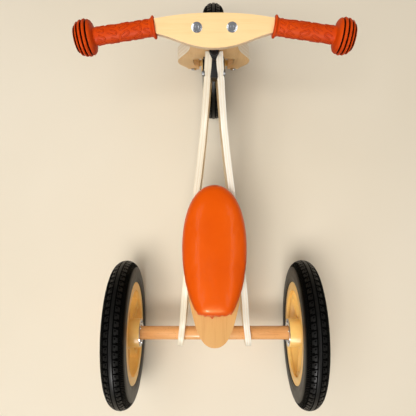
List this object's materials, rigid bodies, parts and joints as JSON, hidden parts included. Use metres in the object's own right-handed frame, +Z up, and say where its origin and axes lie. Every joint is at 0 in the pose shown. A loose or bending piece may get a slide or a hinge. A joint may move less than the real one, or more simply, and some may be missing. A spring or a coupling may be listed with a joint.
{
  "type": "balance bike",
  "caption": "Three-wheeled wooden balance bike: V-shaped plywood frame, wishbone fork on a raked kingpin, padded seat, board handlebar with rubber grips, treaded tyres on moulded rims.",
  "frame": {"origin": "on the ground under the middle of the bike's length and width", "axes": "+Y forward along the bike, +Z up, X = 0 the plane of symmetry"},
  "size_m": [0.445, 0.878, 0.5029],
  "materials": {
    "panel_ply": "satin clear lacquer on birch plywood",
    "seat_ply": "satin clear lacquer on birch plywood",
    "bar_ply": "satin clear lacquer on maple-faced plywood",
    "fork_ply": "satin clear lacquer on birch plywood",
    "beech": "satin clear lacquer",
    "cushion": "soft satin",
    "grip": "matt, embossed",
    "tyre": "matt",
    "rim": "satin",
    "zinc": "bright zinc plate",
    "bearing": "ground steel",
    "black_metal": "satin black",
    "black_rubber": "matt"
  },
  "bodies": {
    "frame": {"frame_panel_left": "panel_ply", "frame_panel_right": "panel_ply", "head_barrel": "black_metal", "head_bushes": "bearing", "head_bolts": "zinc", "head_nuts": "zinc", "seat_block_front": "seat_ply", "seat_block_rear": "seat_ply", "seat_block_bolts": "zinc", "seat_board": "seat_ply", "seat_screws": "zinc", "seat_cushion": "cushion", "rear_dowel": "beech", "dowel_pins": "zinc", "rear_axle_left": "zinc", "rear_axle_right": "zinc", "axle_washers": "zinc"},
    "steering": {"fork_board": "fork_ply", "upper_bracket": "black_metal", "lower_bracket": "black_metal", "bracket_screws": "zinc", "kingpin": "zinc", "kingpin_nut": "zinc", "handlebar_board": "bar_ply", "handlebar_bolts": "zinc", "barrel_nuts": "zinc", "grip_left": "grip", "grip_right": "grip", "front_axle": "zinc", "front_spacers": "zinc", "axle_screws": "zinc"},
    "front_wheel": {"front_rim": "rim", "front_tyre": "tyre", "front_bearings": "bearing", "front_valve": "black_rubber"},
    "rear_wheel_left": {"rear_rim_left": "rim", "rear_tyre_left": "tyre", "rear_bearings_left": "bearing", "hub_ring_left": "zinc", "hub_screws_left": "zinc", "rear_valve_left": "black_rubber"},
    "rear_wheel_right": {"rear_rim_right": "rim", "rear_tyre_right": "tyre", "rear_bearings_right": "bearing", "hub_ring_right": "zinc", "hub_screws_right": "zinc", "rear_valve_right": "black_rubber"}
  },
  "joints": [
    {"name": "steering_pivot", "type": "hinge", "parent": "frame", "child": "steering", "pos_m": [0, 0.23319, 0.34273], "axis": [0, -0.2588, 0.9659], "range_deg": [-27, 27]},
    {"name": "front_wheel_spin", "type": "hinge", "parent": "steering", "child": "front_wheel", "pos_m": [0, 0.313, 0.126], "axis": [1, 0, 0], "continuous": true},
    {"name": "rear_wheel_left_spin", "type": "hinge", "parent": "frame", "child": "rear_wheel_left", "pos_m": [-0.188, -0.287, 0.152], "axis": [1, 0, 0], "continuous": true},
    {"name": "rear_wheel_right_spin", "type": "hinge", "parent": "frame", "child": "rear_wheel_right", "pos_m": [0.188, -0.287, 0.152], "axis": [1, 0, 0], "continuous": true}
  ]
}
